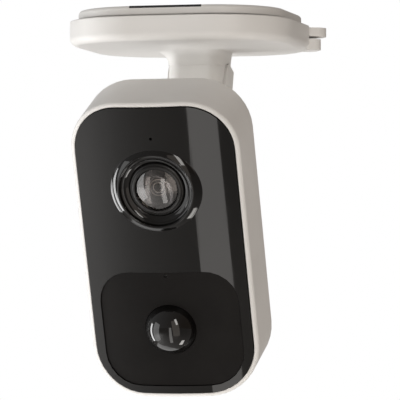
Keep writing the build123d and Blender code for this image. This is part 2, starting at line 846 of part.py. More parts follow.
with BuildPart() as pir_dome:
    with BuildSketch(dome_section):
        with BuildLine():
            Polyline(
                (0, plate_back_out - 1.0),
                (dome_flange_r, plate_back_out - 1.0),
                (dome_flange_r, plate_back_out),
                (dome_r, plate_back_out),
                (dome_r, dome_base_out),
            )
            cap_arc(dome_r, dome_base_out, dome_apex)
            Line((0, dome_apex), (0, plate_back_out - 1.0))
        make_face()
    revolve(axis=dome_axis)
    with BuildSketch(dome_section):
        with BuildLine():
            Polyline(
                (0, plate_back_out - 1.0),
                (dome_r - dome_wall, plate_back_out - 1.0),
                (dome_r - dome_wall, dome_base_out),
            )
            cap_arc(dome_r - dome_wall, dome_base_out, dome_apex - dome_wall)
            Line((0, dome_apex - dome_wall), (0, plate_back_out - 1.0))
        make_face()
    revolve(axis=dome_axis, mode=Mode.SUBTRACT)
pir_dome.part.label = "pir_dome"
export_step(pir_dome.part, "parts/pir_dome.step")

# ---------------------------------------------------------------- lens


def turned_about_lens(name, outline):
    """A solid of revolution about the lens axis, from its radius and height points."""
    with BuildPart() as turned:
        with BuildSketch(lens_section()):
            with BuildLine():
                Polyline(*outline, close=True)
            make_face()
        revolve(axis=lens_axis)
    turned.part.label = name
    return turned.part


bore_r = barrel_r + 0.1
lens_trim = turned_about_lens(
    "lens_trim",
    [
        (bore_r, panel_back - 1.0),
        (bore_r, trim_throat_out),
        (trim_step_r - 0.7, trim_step_out - 0.1),
        (trim_step_r, trim_step_out),
        (trim_mouth_r, trim_top - 0.2),
        (trim_mouth_r + 0.3, trim_top),
        (trim_top_r, trim_top),
        (trim_base_r, trim_base_out),
        (trim_base_r, panel_back - 1.0),
    ],
)
export_step(lens_trim, "parts/lens_trim.step")

lens_tube_r = 5.6
lens_barrel = turned_about_lens(
    "lens_barrel",
    [
        (lens_tube_r, barrel_back),
        (lens_tube_r, glass_seat),
        (glass_r, glass_seat),
        (glass_r, glass_edge + 0.1),
        (glass_r + 0.4, glass_edge + 0.1),
        (barrel_r - 0.4, glass_edge - 0.4),
        (barrel_r, glass_edge - 0.8),
        (barrel_r, barrel_back),
    ],
)
export_step(lens_barrel, "parts/lens_barrel.step")

with BuildPart() as lens_front_glass:
    with BuildSketch(lens_section()):
        with BuildLine():
            Polyline((0, glass_apex), (0, glass_seat), (glass_r, glass_seat), (glass_r, glass_edge))
            cap_arc(glass_r, glass_edge, glass_apex)
        make_face()
    revolve(axis=lens_axis)
lens_front_glass.part.label = "lens_front_glass"
export_step(lens_front_glass.part, "parts/lens_front_glass.step")

aperture_ring = turned_about_lens(
    "aperture_ring",
    [
        (aperture_r, -1.4),
        (aperture_r, -0.5),
        (1.9, -0.5),
        (2.1, -0.8),
        (lens_tube_r, -0.8),
        (lens_tube_r, -1.4),
    ],
)
export_step(aperture_ring, "parts/aperture_ring.step")

with BuildPart() as rear_lens:
    with BuildSketch(lens_section()):
        with BuildLine():
            Polyline((0, -2.4), (0, -5.6), (lens_tube_r, -5.0), (lens_tube_r, -3.6))
            cap_arc(lens_tube_r, -3.6, -2.4)
        make_face()
    revolve(axis=lens_axis)
rear_lens.part.label = "rear_lens"
export_step(rear_lens.part, "parts/rear_lens.step")

lens_retaining_ring = turned_about_lens(
    "lens_retaining_ring", [(4.2, -6.6), (4.2, -5.7), (lens_tube_r, -5.7), (lens_tube_r, -6.6)]
)
export_step(lens_retaining_ring, "parts/lens_retaining_ring.step")

# ---------------------------------------------------------------- electronics in the head


def block(name, across, up, size, low, high, radius=0.0):
    """A box on the head: its centre across and up the face, and its lowest and highest level."""
    with BuildPart() as box:
        with BuildSketch(face_plane.offset(low)):
            with Locations((across, up)):
                if radius:
                    RectangleRounded(size[0], size[1], radius)
                else:
                    Rectangle(size[0], size[1])
        extrude(amount=high - low)
    box.part.label = name
    return box.part


window_w = 9.0
holder_w = 19.0
with BuildPart() as lens_holder:
    with BuildSketch(face_plane.offset(board_front)):
        with Locations((0, lens_up)):
            RectangleRounded(holder_w, holder_w, 1.5)
            Rectangle(window_w, window_w, mode=Mode.SUBTRACT)
    extrude(amount=barrel_back - board_front)
    with BuildSketch(face_plane.offset(barrel_back)):
        with Locations((0, lens_up)):
            RectangleRounded(holder_w, holder_w, 1.5)
            Circle(barrel_r, mode=Mode.SUBTRACT)
    extrude(amount=4.0)
lens_holder.part.label = "lens_holder"
export_step(lens_holder.part, "parts/lens_holder.step")

ir_filter = block(
    "ir_filter", 0, lens_up, (window_w, window_w), barrel_back - 0.6, barrel_back
)
export_step(ir_filter, "parts/ir_filter.step")

image_sensor = block("image_sensor", 0, lens_up, (8.0, 7.0), board_front, board_front + 1.2)
export_step(image_sensor, "parts/image_sensor.step")

with BuildPart() as main_board:
    with BuildSketch(face_plane.offset(board_back)):
        RectangleRounded(board_w, board_h, board_r)
        with Locations(*post_places):
            Circle(board_screw_r, mode=Mode.SUBTRACT)
    extrude(amount=board_front - board_back)
main_board.part.label = "main_board"
export_step(main_board.part, "parts/main_board.step")

board_screw_planes = [
    Plane(origin=head_point(across, up, board_front), x_dir=(1, 0, 0), z_dir=head_out)
    for across, up in post_places
]
board_screws = Compound(
    children=[
        turned_screw(place, 1.8, 1.1, board_screw_r, 5.5) for place in board_screw_planes
    ]
)
board_screws.label = "board_screws"
export_step(board_screws, "parts/board_screws.step")

with BuildPart() as ir_lamps:
    with BuildSketch(face_plane.offset(board_front)):
        with Locations((0, lens_up)):
            with GridLocations(36.0, 25.0, 2, 2):
                Circle(1.5)
    extrude(amount=9.2)
ir_lamps.part.label = "ir_lamps"
export_step(ir_lamps.part, "parts/ir_lamps.step")

status_lamp = block("status_lamp", 0, status_up, (1.6, 1.6), board_front, board_front + 0.8)
export_step(status_lamp, "parts/status_lamp.step")

with BuildPart() as light_pipe:
    with BuildSketch(face_plane.offset(board_front + 1.4)):
        with Locations((0, status_up)):
            Circle(1.3)
    extrude(amount=plate_back_out - board_front - 1.4)
    with BuildSketch(face_plane.offset(plate_back_out)):
        with Locations((0, status_up)):
            Circle(small_hole_r)
    extrude(amount=crown_top - sensor_drop - 0.5 - plate_back_out)
light_pipe.part.label = "light_pipe"
export_step(light_pipe.part, "parts/light_pipe.step")

microphone = block("microphone", 0, mic_up, (3.8, 3.0), board_front, board_front + 1.1)
export_step(microphone, "parts/microphone.step")

with BuildPart() as microphone_boot:
    with BuildSketch(face_plane.offset(board_front + 1.1)):
        with Locations((0, mic_up)):
            Circle(1.0)
            Circle(small_hole_r, mode=Mode.SUBTRACT)
    extrude(amount=11.0)
microphone_boot.part.label = "microphone_boot"
export_step(microphone_boot.part, "parts/microphone_boot.step")

pir_can_seat = board_front + 3.6
pir_can_r = 4.3
pir_can_t = 4.2
with BuildPart() as pir_holder:
    with BuildSketch(face_plane.offset(board_front)):
        with Locations((0, sensor_up)):
            Circle(pir_can_r + 1.5)
            Circle(2.5, mode=Mode.SUBTRACT)
    extrude(amount=pir_can_seat - board_front)
pir_holder.part.label = "pir_holder"
export_step(pir_holder.part, "parts/pir_holder.step")

with BuildPart() as pir_sensor:
    with BuildSketch(face_plane.offset(pir_can_seat)):
        with Locations((0, sensor_up)):
            Circle(pir_can_r + 0.5)
    extrude(amount=0.5)
    with BuildSketch(face_plane.offset(pir_can_seat)):
        with Locations((0, sensor_up)):
            Circle(pir_can_r)
    extrude(amount=pir_can_t)
    with BuildSketch(face_plane.offset(pir_can_seat + pir_can_t)):
        with Locations((0, sensor_up)):
            Rectangle(4.0, 3.0)
    extrude(amount=-0.3, mode=Mode.SUBTRACT)
pir_sensor.part.label = "pir_sensor"
export_step(pir_sensor.part, "parts/pir_sensor.step")

processor_shield = block(
    "processor_shield", 0, 0.5, (15.0, 9.0), board_front, board_front + 2.0, 0.8
)
export_step(processor_shield, "parts/processor_shield.step")

radio_module = block("radio_module", -12.5, 26.5, (11.0, 14.0), board_back - 2.0, board_back)
export_step(radio_module, "parts/radio_module.step")

cavity_side = head_w / 2 - head_wall
antenna = block("antenna", cavity_side - 0.25, 8.0, (0.5, 34.0), -17.0, -7.0)
export_step(antenna, "parts/antenna.step")

battery_pack = block("battery_pack", 0, battery_up, (36.0, 47.0), -21.5, board_back - 1.2, 3.0)
export_step(battery_pack, "parts/battery_pack.step")

battery_pad = block(
    "battery_pad", 0, battery_up, (20.0, 30.0), back_out + head_wall, -21.5, 1.0
)
export_step(battery_pad, "parts/battery_pad.step")

speaker = block(
    "speaker", 0, speaker_up, (16.0, 12.6), back_out + head_wall, back_out + head_wall + 4.0, 2.5
)
export_step(speaker, "parts/speaker.step")

socket_depth = 6.4
with BuildPart() as charging_socket:
    with BuildSketch(bottom_plane.offset(-head_wall)):
        with Locations((0, socket_out - flap_out)):
            RectangleRounded(socket_w - 0.2, socket_h - 0.2, 1.5)
            RectangleRounded(socket_w - 0.8, socket_h - 0.8, 1.2, mode=Mode.SUBTRACT)
    extrude(amount=-socket_depth)
    with BuildSketch(bottom_plane.offset(-head_wall - socket_depth)):
        with Locations((0, socket_out - flap_out)):
            RectangleRounded(socket_w - 0.2, socket_h - 0.2, 1.5)
    extrude(amount=-0.6)
    with BuildSketch(bottom_plane.offset(-head_wall - 1.0)):
        with Locations((0, socket_out - flap_out)):
            Rectangle(6.4, 0.7)
    extrude(amount=1.0 - socket_depth)
charging_socket.part.label = "charging_socket"
export_step(charging_socket.part, "parts/charging_socket.step")

with BuildPart() as card_socket:
    with BuildSketch(bottom_plane.offset(-head_wall)):
        with Locations((0, card_out - flap_out)):
            Rectangle(card_w + 1.0, card_h + 0.3)
            Rectangle(card_w - 0.6, card_h - 0.4, mode=Mode.SUBTRACT)
    extrude(amount=-10.0)
card_socket.part.label = "card_socket"
export_step(card_socket.part, "parts/card_socket.step")

with BuildPart() as tact_switch:
    with BuildSketch(face_plane.offset(board_back)):
        with Locations((0, button_up)):
            Rectangle(6.0, 6.0)
    extrude(amount=-3.5)
    with BuildSketch(face_plane.offset(board_back)):
        with Locations((0, button_up)):
            Circle(1.6)
    extrude(amount=-4.0)
tact_switch.part.label = "tact_switch"
export_step(tact_switch.part, "parts/tact_switch.step")

# ---------------------------------------------------------------- power button and port flap

button_proud = 0.5
button_seat = back_out + head_wall + 0.1
with BuildPart() as power_button:
    with BuildSketch(face_plane.offset(back_out - button_proud)):
        with Locations((0, button_up)):
            Circle(button_r)
    extrude(amount=button_seat - back_out + button_proud)
    fillet(power_button.faces().sort_by(Axis(face_origin, head_out))[0].edges(), 0.4)
    with BuildSketch(face_plane.offset(button_seat)):
        with Locations((0, button_up)):
            Circle(button_r + 0.6)
    extrude(amount=0.6)
    with BuildSketch(face_plane.offset(button_seat)):
        with Locations((0, button_up)):
            Circle(1.2)
    extrude(amount=board_back - 4.7 - button_seat)
power_button.part.label = "power_button"
export_step(power_button.part, "parts/power_button.step")

with BuildPart() as port_flap:
    with BuildSketch(bottom_plane):
        with Locations((0, flap_t / 4)):
            Rectangle(flap_w, flap_depth - flap_t / 2)
    extrude(amount=-flap_t)
    with BuildSketch(flap_pin_plane.offset(flap_gap + 0.8)):
        Circle(flap_t / 2)
    extrude(amount=flap_w)
    with BuildSketch(bottom_plane):
        with Locations((0, flap_depth / 2)):
            SlotOverall(5.0, 1.0)
    extrude(amount=-0.5, mode=Mode.SUBTRACT)
    with BuildSketch(flap_pin_plane):
        Circle(flap_pin_r + running_gap)
    extrude(amount=flap_pin_length, mode=Mode.SUBTRACT)
port_flap.part.label = "port_flap"
export_step(port_flap.part, "parts/port_flap.step")

with BuildPart() as flap_pin:
    with BuildSketch(flap_pin_plane):
        Circle(flap_pin_r)
    extrude(amount=flap_pin_length)
flap_pin.part.label = "flap_pin"
export_step(flap_pin.part, "parts/flap_pin.step")
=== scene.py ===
import json
from math import cos, hypot, pi, radians, sin, sqrt

import bmesh
import bpy
from mathutils import Matrix, Vector


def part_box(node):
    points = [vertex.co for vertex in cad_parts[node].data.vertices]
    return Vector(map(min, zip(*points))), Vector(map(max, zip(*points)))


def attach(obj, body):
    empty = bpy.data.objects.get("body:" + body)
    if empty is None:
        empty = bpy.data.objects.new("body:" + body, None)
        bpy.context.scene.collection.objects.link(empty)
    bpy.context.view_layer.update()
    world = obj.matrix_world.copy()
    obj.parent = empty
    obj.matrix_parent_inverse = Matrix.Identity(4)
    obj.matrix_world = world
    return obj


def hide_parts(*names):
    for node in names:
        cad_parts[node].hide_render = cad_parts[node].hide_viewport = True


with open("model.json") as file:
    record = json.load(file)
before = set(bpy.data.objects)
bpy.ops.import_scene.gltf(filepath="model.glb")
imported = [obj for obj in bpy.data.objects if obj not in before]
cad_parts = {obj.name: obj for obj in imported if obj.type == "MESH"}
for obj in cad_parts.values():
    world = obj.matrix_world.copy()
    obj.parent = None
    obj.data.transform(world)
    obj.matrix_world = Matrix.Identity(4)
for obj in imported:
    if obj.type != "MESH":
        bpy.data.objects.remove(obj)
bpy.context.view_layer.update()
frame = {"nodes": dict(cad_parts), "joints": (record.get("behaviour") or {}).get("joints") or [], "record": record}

# A ceiling-mounted security camera. Blender works in metres, and MM turns millimetres into them.
MM = 0.001
scene = bpy.context.scene
nodes = frame["nodes"]
record = frame["record"]
slot_of = {part["node"]: part["material_slot"] for part in record["subparts"]}
body_of = {node: body for body, members in record["behaviour"]["bodies"].items() for node in members}
joints = {joint["name"]: joint for joint in frame["joints"]}

# ---------------------------------------------------------------- places read from the frame

head_across = Vector(joints["head_tilt"]["axis"])
head_out = Vector(joints["button_press"]["axis"])
head_up = head_out.cross(head_across)


def reach(node, direction):
    """The lowest and highest place of a CAD node along a direction, in metres."""
    places = [direction.dot(vertex.co) for vertex in nodes[node].data.vertices]
    return min(places), max(places)


def turned_to(across, up, out):
    """The rotation that takes the X, Y and Z axes to three directions."""
    return Matrix((across, up, out)).transposed()


# The front is crowned across its width, in millimetres. The head's own axes start at the middle of
# the front panel, at the level where the crown begins.
crown_height = 2.9
crown_radius = 105.0
panel_up = sum(reach("front_panel", head_up)) / 2
crown_foot = reach("front_panel", head_out)[1] - crown_height * MM
head_centre = head_up * panel_up + head_out * crown_foot
head_space = Matrix.Translation(head_centre) @ turned_to(head_across, head_up, head_out).to_4x4()

low = Vector(map(min, *[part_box(name)[0] for name in nodes]))
high = Vector(map(max, *[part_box(name)[1] for name in nodes]))
centre = (low + high) / 2

# ---------------------------------------------------------------- material building blocks

# The stretches of the noise's values over which the colour and the roughness change
colour_range = (0.35, 0.65)
rough_range = (0.3, 0.7)
rough_patches = 3.1  # roughness changes over patches this much smaller than the colour's


def noise(tree, scale, detail, stretch=(1, 1, 1)):
    """Noise in object space. The scale is in cells per metre."""
    place = tree.nodes.new("ShaderNodeTexCoord")
    mapping = tree.nodes.new("ShaderNodeMapping")
    mapping.inputs["Scale"].default_value = stretch
    texture = tree.nodes.new("ShaderNodeTexNoise")
    texture.inputs["Scale"].default_value = scale
    texture.inputs["Detail"].default_value = detail
    tree.links.new(place.outputs["Object"], mapping.inputs["Vector"])
    tree.links.new(mapping.outputs["Vector"], texture.inputs["Vector"])
    return texture.outputs["Fac"]


def two_colours(tree, factor, first, second):
    """A colour that runs from the first to the second as the factor rises."""
    ramp = tree.nodes.new("ShaderNodeValToRGB")
    for element, place, colour in zip(ramp.color_ramp.elements, colour_range, (first, second)):
        element.position = place
        element.color = (*colour, 1)
    tree.links.new(factor, ramp.inputs["Fac"])
    return ramp.outputs["Color"]


def spread(tree, factor, least, most):
    """The factor mapped to a range."""
    mapped = tree.nodes.new("ShaderNodeMapRange")
    mapped.inputs["From Min"].default_value, mapped.inputs["From Max"].default_value = rough_range
    mapped.inputs["To Min"].default_value = least
    mapped.inputs["To Max"].default_value = most
    tree.links.new(factor, mapped.inputs["Value"])
    return mapped.outputs["Result"]


def add_bump(tree, shader, height, depth):
    """Relief of a depth in millimetres on the shader's normal."""
    bump = tree.nodes.new("ShaderNodeBump")
    bump.inputs["Strength"].default_value = 1.0
    bump.inputs["Distance"].default_value = depth * MM
    tree.links.new(height, bump.inputs["Height"])
    tree.links.new(bump.outputs["Normal"], shader.inputs["Normal"])


def surface(name, first, second, rough, blotch, grain=0, depth=0, stretch=(1, 1, 1), **sockets):
    """A finish with drifting colour, uneven roughness and, given a grain and a depth, fine relief.

    Blotch and grain are in cells per metre. Anything else goes to the shader's own sockets.
    """
    made = bpy.data.materials.new(name)
    made.use_nodes = True
    tree = made.node_tree
    shader = tree.nodes["Principled BSDF"]
    colour = two_colours(tree, noise(tree, blotch, detail=4.0), first, second)
    tree.links.new(colour, shader.inputs["Base Color"])
    roughness = spread(tree, noise(tree, blotch * rough_patches, detail=5.0), *rough)
    tree.links.new(roughness, shader.inputs["Roughness"])
    if depth:
        add_bump(tree, shader, noise(tree, grain, detail=2.0, stretch=stretch), depth)
    for socket, value in sockets.items():
        shader.inputs[socket.replace("_", " ")].default_value = value
    return made


# ---------------------------------------------------------------- materials, one for each slot

finishes = {
    "white_shell": dict(
        first=(0.80, 0.79, 0.77), second=(0.765, 0.755, 0.735), rough=(0.40, 0.48),
        blotch=45, grain=3200, depth=0.012, IOR=1.5,
    ),
    "black_gloss": dict(
        first=(0.0040, 0.0038, 0.0036), second=(0.0052, 0.0048, 0.0044), rough=(0.03, 0.06),
        blotch=40, grain=260, depth=0.0006, IOR=1.42,
    ),
    "black_satin": dict(
        first=(0.0050, 0.0042, 0.0038), second=(0.0064, 0.0054, 0.0048), rough=(0.40, 0.50),
        blotch=70, grain=4200, depth=0.010, IOR=1.38, Specular_IOR_Level=0.18,
    ),
    "black_plastic": dict(
        first=(0.0055, 0.0053, 0.0050), second=(0.0075, 0.0070, 0.0066), rough=(0.26, 0.36),
        blotch=120, grain=3800, depth=0.006, IOR=1.47,
    ),
    "dome_black": dict(
        first=(0.0030, 0.0027, 0.0026), second=(0.0040, 0.0036, 0.0034), rough=(0.015, 0.035),
        blotch=150, grain=420, depth=0.0003, IOR=1.52,
    ),
    "black_rubber": dict(
        first=(0.012, 0.012, 0.012), second=(0.018, 0.018, 0.018), rough=(0.62, 0.75),
        blotch=200, grain=2500, depth=0.02,
    ),
    "white_rubber": dict(
        first=(0.73, 0.72, 0.70), second=(0.69, 0.68, 0.66), rough=(0.58, 0.68),
        blotch=90, grain=2600, depth=0.012,
    ),
    "grey_foam": dict(
        first=(0.10, 0.10, 0.10), second=(0.15, 0.15, 0.15), rough=(0.85, 0.95),
        blotch=900, grain=1800, depth=0.15,
    ),
    "nylon": dict(
        first=(0.76, 0.75, 0.71), second=(0.70, 0.69, 0.65), rough=(0.42, 0.52),
        blotch=80, grain=2400, depth=0.008,
    ),
    "steel": dict(
        first=(0.52, 0.52, 0.53), second=(0.60, 0.60, 0.60), rough=(0.24, 0.36),
        blotch=300, grain=5000, depth=0.004, stretch=(1, 1, 8), Metallic=1.0,
    ),
    "bright_steel": dict(
        first=(0.70, 0.70, 0.69), second=(0.77, 0.77, 0.77), rough=(0.12, 0.2),
        blotch=250, grain=4000, depth=0.002, stretch=(1, 6, 1), Metallic=1.0,
    ),
    "board_green": dict(
        first=(0.016, 0.085, 0.045), second=(0.030, 0.125, 0.070), rough=(0.28, 0.38),
        blotch=420, grain=1400, depth=0.02,
    ),
    "chip_black": dict(
        first=(0.018, 0.018, 0.020), second=(0.026, 0.026, 0.028), rough=(0.5, 0.62),
        blotch=300, grain=5000, depth=0.008,
    ),
    "copper": dict(
        first=(0.62, 0.33, 0.19), second=(0.70, 0.40, 0.24), rough=(0.25, 0.38),
        blotch=350, grain=4000, depth=0.004, Metallic=1.0,
    ),
    "battery_wrap": dict(
        first=(0.07, 0.12, 0.24), second=(0.10, 0.16, 0.30), rough=(0.22, 0.32),
        blotch=80, grain=700, depth=0.01,
    ),
    "lens_glass": dict(
        first=(0.66, 0.62, 0.62), second=(0.72, 0.66, 0.62), rough=(0.0, 0.01),
        blotch=200, IOR=1.82, Transmission_Weight=1.0,
    ),
    "filter_glass": dict(
        first=(0.50, 0.12, 0.14), second=(0.42, 0.10, 0.16), rough=(0.02, 0.05),
        blotch=200, IOR=1.5, Transmission_Weight=0.8,
    ),
    "clear_plastic": dict(
        first=(0.10, 0.10, 0.10), second=(0.14, 0.14, 0.13), rough=(0.30, 0.40),
        blotch=200, IOR=1.49, Transmission_Weight=0.9,
    ),
    "lamp_clear": dict(
        first=(0.24, 0.21, 0.30), second=(0.30, 0.26, 0.34), rough=(0.05, 0.1),
        blotch=200, IOR=1.5, Transmission_Weight=0.6,
    ),
}
materials = {name: surface(name, **finish) for name, finish in finishes.items()}

# Every node of the design gets the finish of its slot
for name, node in nodes.items():
    chosen = materials[slot_of[name]]
    if not node.material_slots:
        node.data.materials.append(chosen)
    for holder in node.material_slots:
        holder.link = "OBJECT"
        holder.material = chosen

# ---------------------------------------------------------------- mesh building blocks
# Shapes on the head are worked out in its own axes, across, up and out of the face, in millimetres.

UP, OUT = 1, 2
on_axis = 1e-6  # a radius no larger than this is a point on the axis
flat_back = 0.01  # what stands less than this above a slab's back belongs to the back
cut_merge = 1e-4


def head_box(node):
    """The lowest and highest corners of a CAD node in the head's own axes."""
    to_head = head_space.inverted()
    places = [to_head @ vertex.co / MM for vertex in nodes[node].data.vertices]
    return Vector(map(min, *places)), Vector(map(max, *places))


def head_middle(node, axis):
    """The place of a CAD node's middle along one of the head's own axes."""
    lowest, highest = head_box(node)
    return (lowest[axis] + highest[axis]) / 2


def crown(across, drop=0.0):
    """The level of the crowned face, less a drop."""
    return crown_height - crown_radius + sqrt(crown_radius**2 - across**2) - drop


def outline(half_w, half_h, radius, corner_steps=10, across_steps=14, up_steps=14):
    """Points round a rectangle with round corners, evenly divided, anticlockwise."""
    points = []
    corners = ((1, 1), (-1, 1), (-1, -1), (1, -1))
    for number, (x, y) in enumerate(corners):
        centre_x, centre_y = x * (half_w - radius), y * (half_h - radius)
        for step in range(corner_steps):
            turn = radians(90 * (number + step / corner_steps))
            points.append((centre_x + radius * cos(turn), centre_y + radius * sin(turn)))
        next_x, next_y = corners[(number + 1) % 4]
        along = across_steps if number % 2 == 0 else up_steps
        end = radians(90 * (number + 1))
        start_x, start_y = centre_x + radius * cos(end), centre_y + radius * sin(end)
        stop_x = next_x * (half_w - radius) + radius * cos(end)
        stop_y = next_y * (half_h - radius) + radius * sin(end)
        for step in range(along):
            part = step / along
            points.append((start_x + (stop_x - start_x) * part, start_y + (stop_y - start_y) * part))
    return points


def round_section(radius, centre_up, sides):
    """Points round a circle whose centre is on the middle line of the face."""
    turns = [2 * pi * k / sides for k in range(sides)]
    return [(radius * cos(turn), centre_up + radius * sin(turn)) for turn in turns]


def block_section(half_w, half_h, radius, centre_up):
    """Points round a rectangle with round corners whose centre is on the middle line of the face."""
    return [(x, y + centre_up) for x, y in outline(half_w, half_h, radius, 6, 1, 1)]


def join_rings(shape, rings):
    """Quads between rings of equal length."""
    loops = [[shape.verts.new(place) for place in ring] for ring in rings]
    count = len(loops[0])
    for lower, upper in zip(loops, loops[1:]):
        for index in range(count):
            following = (index + 1) % count
            shape.faces.new((lower[index], lower[following], upper[following], upper[index]))
    return loops


def finished_mesh(name, shape, smooth_angle=35):
    """The bmesh as a mesh with outward faces, smooth except where it turns sharply."""
    bmesh.ops.recalc_face_normals(shape, faces=shape.faces)
    mesh = bpy.data.meshes.new(name)
    shape.to_mesh(mesh)
    shape.free()
    mesh.shade_smooth()
    mesh.set_sharp_from_angle(angle=radians(smooth_angle))
    return mesh


def apply_modifiers(thing):
    """Leaves the object with its modifiers' result as its own mesh."""
    graph = bpy.context.evaluated_depsgraph_get()
    result = bpy.data.meshes.new_from_object(thing.evaluated_get(graph))
    thing.modifiers.clear()
    thing.data = result


def loose_object(name, mesh):
    """A new object in the scene that rides on nothing yet."""
    made = bpy.data.objects.new(name, mesh)
    scene.collection.objects.link(made)
    return made


def cut(thing, cutters):
    """Takes the cutters' solids out of the piece and removes them."""
    for cutter in cutters:
        modifier = thing.modifiers.new("cut", "BOOLEAN")
        modifier.operation = "DIFFERENCE"
        modifier.solver = "EXACT"
        modifier.object = cutter
    apply_modifiers(thing)
    for cutter in cutters:
        bpy.data.objects.remove(cutter)


def soften(thing, width, segments=2, angle=40):
    """Rounds the edges sharper than an angle by a width in millimetres and evens out the shading."""
    bevel = thing.modifiers.new("soft edges", "BEVEL")
    bevel.width = width * MM
    bevel.segments = segments
    bevel.limit_method = "ANGLE"
    bevel.angle_limit = radians(angle)
    bevel.miter_outer = "MITER_ARC"
    apply_modifiers(thing)
    thing.data.shade_smooth()
    thing.data.set_sharp_from_angle(angle=radians(angle + 5))
    shading = thing.modifiers.new("even shading", "WEIGHTED_NORMAL")
    shading.keep_sharp = True
    shading.weight = 80


def stands_for(piece, node):
    """Makes a piece take a CAD node's place, body and finish."""
    piece.data.materials.clear()
    piece.data.materials.append(materials[slot_of[node]])
    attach(piece, body_of[node])
    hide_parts(node)


def on_head(thing):
    """Moves a mesh from the head's axes in millimetres to its place in metres."""
    thing.data.transform(head_space @ Matrix.Scale(MM, 4))
    return thing


def lathe(name, profile, centre_up, sides=128):
    """A closed ring or solid turned about an axis out of the face, from radius and level pairs."""
    shape = bmesh.new()
    turned = []
    for radius, level in profile:
        section = [(0, centre_up)] if radius <= on_axis else round_section(radius, centre_up, sides)
        turned.append([shape.verts.new((x, y, level)) for x, y in section])
    for index, lower in enumerate(turned):
        upper = turned[(index + 1) % len(turned)]
        if len(lower) == 1 and len(upper) == 1:
            continue
        for k in range(sides):
            following = (k + 1) % sides
            corners = [lower[k % len(lower)], lower[following % len(lower)]]
            corners += [upper[following % len(upper)], upper[k % len(upper)]]
            shape.faces.new(list(dict.fromkeys(corners)))
    return on_head(loose_object(name, finished_mesh(name, shape, 30)))


def arc(start, end, bulge, steps):
    """Points from start to end on a circular arc that stands off the chord by bulge."""
    (r1, z1), (r2, z2) = start, end
    chord = hypot(r2 - r1, z2 - z1)
    radius = (chord * chord / 4 + bulge * bulge) / (2 * abs(bulge))
    side = 1 if bulge > 0 else -1
    normal_r, normal_z = (z2 - z1) / chord * -side, (r2 - r1) / chord * side
    offset = radius - abs(bulge)
    centre_r = (r1 + r2) / 2 - normal_r * offset
    centre_z = (z1 + z2) / 2 - normal_z * offset
    points = []
    for step in range(steps + 1):
        part = step / steps
        r, z = r1 + (r2 - r1) * part - centre_r, z1 + (z2 - z1) * part - centre_z
        scale = radius / hypot(r, z)
        points.append((max(centre_r + r * scale, 0.0), centre_z + z * scale))
    return points


def cap(edge_r, edge_level, apex_level, steps):
    """Points from a rim to the apex over its centre, on a sphere about the axis."""
    rise = apex_level - edge_level
    radius = (edge_r * edge_r + rise * rise) / (2 * rise)
    points = []
    for step in range(steps + 1):
        r = edge_r * sin(pi / 2 * (1 - step / steps))
        points.append((r if step < steps else 0.0, apex_level - radius + sqrt(radius**2 - r**2)))
    return points


def crowned_slab(name, half_w, half_h, radius, centre_up, back, drop=0.0, slices=40):
    """A plate with a flat back and the face's crown, cut into strips that follow the crown."""
    shape = bmesh.new()
    points = [(x, y + centre_up) for x, y in outline(half_w, half_h, radius, across_steps=1, up_steps=1)]
    join_rings(shape, [[(x, y, level) for x, y in points] for level in (back, crown_height)])
    shape.verts.ensure_lookup_table()
    count = len(points)
    shape.faces.new(shape.verts[:count])
    shape.faces.new(shape.verts[count:])
    for number in range(1, slices):
        place = -half_w + 2 * half_w * number / slices
        bmesh.ops.bisect_plane(
            shape, geom=shape.verts[:] + shape.edges[:] + shape.faces[:],
            plane_co=(place, 0, 0), plane_no=(1, 0, 0), dist=cut_merge,
        )
    for vertex in shape.verts:
        if vertex.co.z > back + flat_back:
            vertex.co.z = crown(vertex.co.x, drop)
    return on_head(loose_object(name, finished_mesh(name, shape)))


def cutting_tool(section, levels, turn=None):
    """A straight tool between two levels out of the face, or turned to enter from another side."""
    shape = bmesh.new()
    for loop in join_rings(shape, [[(x, y, level) for x, y in section] for level in levels]):
        shape.faces.new(loop)
    if turn:
        bmesh.ops.transform(shape, matrix=turn, verts=shape.verts)
    return on_head(loose_object("cutter", finished_mesh("cutter", shape)))


# ---------------------------------------------------------------- front of the head

gap = 0.15
through_front = (-12.0, 12.0)
small_hole = 0.45
small_hole_sides = 32

# The panel, hollow behind, with openings for the lens trim, the sensor plate and the microphone
panel_low, panel_high = head_box("front_panel")
panel_corner = 14.0
panel_wall = 2.0
panel_edge = 0.16
sensor_low, sensor_high = head_box("sensor_plate")
sensor_half_h = (sensor_high.y - sensor_low.y) / 2
sensor_up = head_middle("sensor_plate", UP)
sensor_corner = 10.0
trim_low, trim_high = head_box("lens_trim")
trim_radius = trim_high.x
trim_foot = 1.4
trim_top_radius = 11.5
lens_up = head_middle("lens_trim", UP)

panel = crowned_slab(
    "panel", panel_high.x, panel_high.y, panel_corner, 0.0, panel_low.z
)
hollow = crowned_slab(
    "hollow", panel_high.x - panel_wall, panel_high.y - panel_wall, panel_corner - panel_wall,
    0.0, panel_low.z - 1.0, panel_wall,
)
sensor_opening = cutting_tool(
    block_section(sensor_high.x + gap, sensor_half_h + gap, sensor_corner + gap, sensor_up), through_front
)
trim_opening = lathe("cutter", [
    (0.0, through_front[0]), (trim_radius, through_front[0]), (trim_radius, trim_foot),
    (trim_top_radius, trim_high.z), (0.0, trim_high.z),
], lens_up)
microphone_hole = cutting_tool(
    round_section(small_hole, head_middle("microphone", UP), small_hole_sides), through_front
)
cut(panel, [hollow, trim_opening, microphone_hole, sensor_opening])
soften(panel, panel_edge)
stands_for(panel, "front_panel")

